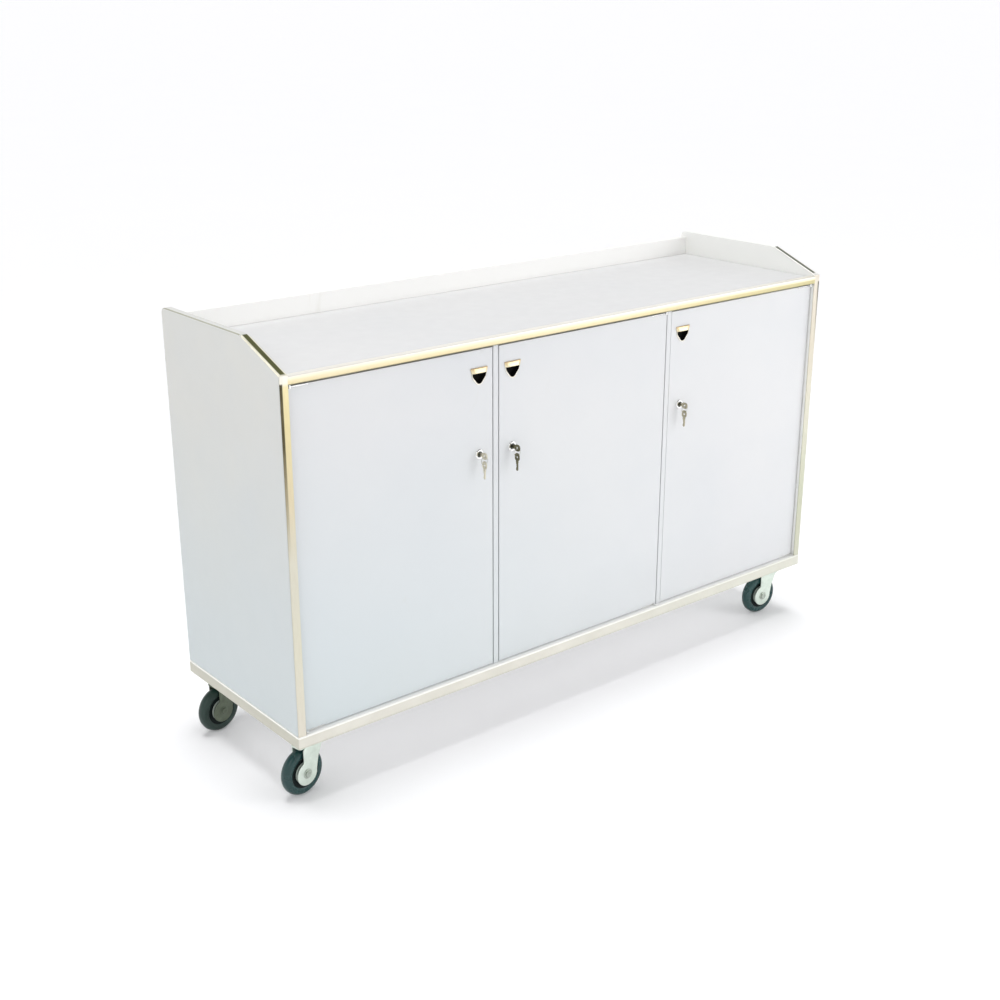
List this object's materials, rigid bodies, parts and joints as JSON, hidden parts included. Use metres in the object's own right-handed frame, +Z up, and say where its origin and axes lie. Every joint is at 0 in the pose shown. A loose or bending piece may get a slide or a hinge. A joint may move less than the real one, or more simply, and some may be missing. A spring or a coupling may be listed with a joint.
{
  "type": "housekeeping cart",
  "caption": "Low white laminate cabinet cart with lockable hinged doors, a guarded worktop with gold-tone edge trim, and swivel casters.",
  "frame": {"origin": "centre of the cart's box at floor level, where the wheels rest; the cabinet's footprint is centred on it to within 5 mm", "axes": "+X along the cart's length, to the right when facing the doors; +Y from the doors to the back; +Z up"},
  "size_m": [1.533, 0.4594, 0.927],
  "materials": {
    "laminate": "white melamine laminate, satin",
    "base_band": "beige edge profile, satin",
    "gold_trim": "gold anodised profile, polished",
    "pull_brass": "gold-tone flush pull with a dark cup",
    "lock_chrome": "polished",
    "key_metal": "worn dark brass",
    "ring_steel": "drawn wire",
    "zinc_steel": "zinc plated",
    "wheel_hub": "pale moulded core",
    "tyre_rubber": "dark rubber"
  },
  "bodies": {
    "cabinet": {"base_panel": "laminate", "base_edge_band": "base_band", "left_side_panel": "laminate", "right_side_panel": "laminate", "back_panel": "laminate", "worktop": "laminate", "back_gallery": "laminate", "divider_left": "laminate", "divider_right": "laminate", "shelf_left": "laminate", "shelf_centre": "laminate", "shelf_right": "laminate", "left_front_trim": "gold_trim", "right_front_trim": "gold_trim", "left_slope_trim": "gold_trim", "right_slope_trim": "gold_trim", "worktop_nosing": "gold_trim", "caster_front_left_plate": "zinc_steel", "caster_back_left_plate": "zinc_steel", "caster_front_right_plate": "zinc_steel", "caster_back_right_plate": "zinc_steel"},
    "door_left": {"door_left": "laminate", "pull_left": "pull_brass", "lock_barrel_left": "lock_chrome", "door_left_top_pivot": "zinc_steel", "door_left_bottom_pivot": "zinc_steel"},
    "lock_left": {"lock_plug_left": "lock_chrome"},
    "key_left": {"key_left": "key_metal"},
    "ring_left": {"key_ring_left": "ring_steel"},
    "spare_left": {"spare_key_left": "key_metal"},
    "door_centre": {"door_centre": "laminate", "pull_centre": "pull_brass", "lock_barrel_centre": "lock_chrome", "door_centre_top_pivot": "zinc_steel", "door_centre_bottom_pivot": "zinc_steel"},
    "lock_centre": {"lock_plug_centre": "lock_chrome"},
    "key_centre": {"key_centre": "key_metal"},
    "ring_centre": {"key_ring_centre": "ring_steel"},
    "spare_centre": {"spare_key_centre": "key_metal"},
    "door_right": {"door_right": "laminate", "pull_right": "pull_brass", "lock_barrel_right": "lock_chrome", "door_right_top_pivot": "zinc_steel", "door_right_bottom_pivot": "zinc_steel"},
    "lock_right": {"lock_plug_right": "lock_chrome"},
    "key_right": {"key_right": "key_metal"},
    "ring_right": {"key_ring_right": "ring_steel"},
    "spare_right": {"spare_key_right": "key_metal"},
    "fork_front_left": {"caster_front_left_fork": "zinc_steel"},
    "wheel_front_left": {"caster_front_left_tyre": "tyre_rubber", "caster_front_left_hub": "wheel_hub"},
    "fork_back_left": {"caster_back_left_fork": "zinc_steel"},
    "wheel_back_left": {"caster_back_left_tyre": "tyre_rubber", "caster_back_left_hub": "wheel_hub"},
    "fork_front_right": {"caster_front_right_fork": "zinc_steel"},
    "wheel_front_right": {"caster_front_right_tyre": "tyre_rubber", "caster_front_right_hub": "wheel_hub"},
    "fork_back_right": {"caster_back_right_fork": "zinc_steel"},
    "wheel_back_right": {"caster_back_right_tyre": "tyre_rubber", "caster_back_right_hub": "wheel_hub"}
  },
  "joints": [
    {"name": "door_left_hinge", "type": "hinge", "parent": "cabinet", "child": "door_left", "pos_m": [-0.7248, -0.2151, 0.505], "axis": [0, 0, -1], "range_deg": [0, 95]},
    {"name": "lock_left_turn", "type": "hinge", "parent": "door_left", "child": "lock_left", "pos_m": [-0.2898, -0.2, 0.635], "axis": [0, -1, 0], "range_deg": [0, 90]},
    {"name": "key_left_withdraw", "type": "slide", "parent": "lock_left", "child": "key_left", "axis": [0, -1, 0], "range_m": [0, 0.021]},
    {"name": "ring_left_swing", "type": "hinge", "parent": "key_left", "child": "ring_left", "pos_m": [-0.2898, -0.2284, 0.635], "axis": [-1, 0, 0], "range_deg": [-12, 75]},
    {"name": "spare_key_left_slide_round", "type": "hinge", "parent": "ring_left", "child": "spare_left", "pos_m": [-0.2898, -0.2284, 0.62525], "axis": [0, 1, 0], "range_deg": [-90, 90]},
    {"name": "door_centre_hinge", "type": "hinge", "parent": "cabinet", "child": "door_centre", "pos_m": [0.2336, -0.2151, 0.505], "axis": [0, 0, 1], "range_deg": [0, 95]},
    {"name": "lock_centre_turn", "type": "hinge", "parent": "door_centre", "child": "lock_centre", "pos_m": [-0.2038, -0.2, 0.635], "axis": [0, 1, 0], "range_deg": [0, 90]},
    {"name": "key_centre_withdraw", "type": "slide", "parent": "lock_centre", "child": "key_centre", "axis": [0, -1, 0], "range_m": [0, 0.021]},
    {"name": "ring_centre_swing", "type": "hinge", "parent": "key_centre", "child": "ring_centre", "pos_m": [-0.2038, -0.2284, 0.635], "axis": [-1, 0, 0], "range_deg": [-12, 75]},
    {"name": "spare_key_centre_slide_round", "type": "hinge", "parent": "ring_centre", "child": "spare_centre", "pos_m": [-0.2038, -0.2284, 0.62525], "axis": [0, 1, 0], "range_deg": [-90, 90]},
    {"name": "door_right_hinge", "type": "hinge", "parent": "cabinet", "child": "door_right", "pos_m": [0.7248, -0.2151, 0.505], "axis": [0, 0, 1], "range_deg": [0, 95]},
    {"name": "lock_right_turn", "type": "hinge", "parent": "door_right", "child": "lock_right", "pos_m": [0.2898, -0.2, 0.635], "axis": [0, 1, 0], "range_deg": [0, 90]},
    {"name": "key_right_withdraw", "type": "slide", "parent": "lock_right", "child": "key_right", "axis": [0, -1, 0], "range_m": [0, 0.021]},
    {"name": "ring_right_swing", "type": "hinge", "parent": "key_right", "child": "ring_right", "pos_m": [0.2898, -0.2284, 0.635], "axis": [-1, 0, 0], "range_deg": [-12, 75]},
    {"name": "spare_key_right_slide_round", "type": "hinge", "parent": "ring_right", "child": "spare_right", "pos_m": [0.2898, -0.2284, 0.62525], "axis": [0, 1, 0], "range_deg": [-90, 90]},
    {"name": "caster_front_left_swivel", "type": "hinge", "parent": "cabinet", "child": "fork_front_left", "pos_m": [-0.691, -0.1695, 0.119], "axis": [0, 0, 1], "continuous": true},
    {"name": "caster_front_left_roll", "type": "hinge", "parent": "fork_front_left", "child": "wheel_front_left", "pos_m": [-0.71857, -0.17436, 0.05], "axis": [0.1736, -0.9848, 0], "continuous": true},
    {"name": "caster_back_left_swivel", "type": "hinge", "parent": "cabinet", "child": "fork_back_left", "pos_m": [-0.691, 0.1695, 0.119], "axis": [0, 0, 1], "continuous": true},
    {"name": "caster_back_left_roll", "type": "hinge", "parent": "fork_back_left", "child": "wheel_back_left", "pos_m": [-0.71857, 0.16464, 0.05], "axis": [0.1736, -0.9848, 0], "continuous": true},
    {"name": "caster_front_right_swivel", "type": "hinge", "parent": "cabinet", "child": "fork_front_right", "pos_m": [0.691, -0.1695, 0.119], "axis": [0, 0, 1], "continuous": true},
    {"name": "caster_front_right_roll", "type": "hinge", "parent": "fork_front_right", "child": "wheel_front_right", "pos_m": [0.66311, -0.16706, 0.05], "axis": [-0.0872, -0.9962, 0], "continuous": true},
    {"name": "caster_back_right_swivel", "type": "hinge", "parent": "cabinet", "child": "fork_back_right", "pos_m": [0.691, 0.1695, 0.119], "axis": [0, 0, 1], "continuous": true},
    {"name": "caster_back_right_roll", "type": "hinge", "parent": "fork_back_right", "child": "wheel_back_right", "pos_m": [0.71731, 0.17908, 0.05], "axis": [-0.342, 0.9397, 0], "continuous": true}
  ]
}
